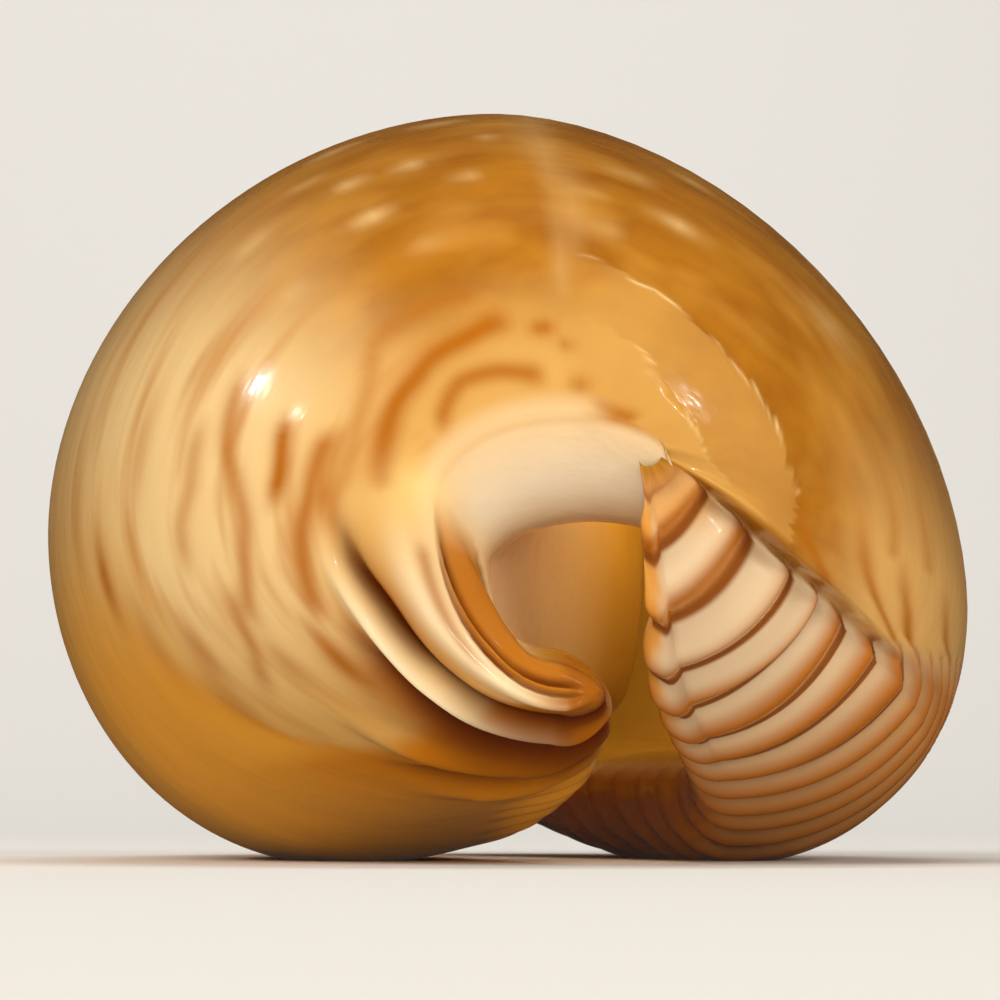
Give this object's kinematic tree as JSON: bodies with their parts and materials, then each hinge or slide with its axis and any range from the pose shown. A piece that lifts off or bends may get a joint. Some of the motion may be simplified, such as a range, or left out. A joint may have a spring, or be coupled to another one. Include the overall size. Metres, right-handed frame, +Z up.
{
  "type": "cowrie shell",
  "caption": "Glossy humped cowrie shell, rolled round its hollow, with a toothed slot under it and a ribbed outer lip.",
  "frame": {"origin": "centre of the bounding box, at its bottom: the level the two base lobes rest on", "axes": "+Y along the shell from the end seen in the picture to the far end, +Z up from the base to the back, +X towards the outer lip"},
  "size_m": [0.0216, 0.0342, 0.0175],
  "materials": {
    "shell": "glossy"
  },
  "bodies": {
    "root": {"shell": "shell"}
  },
  "joints": []
}
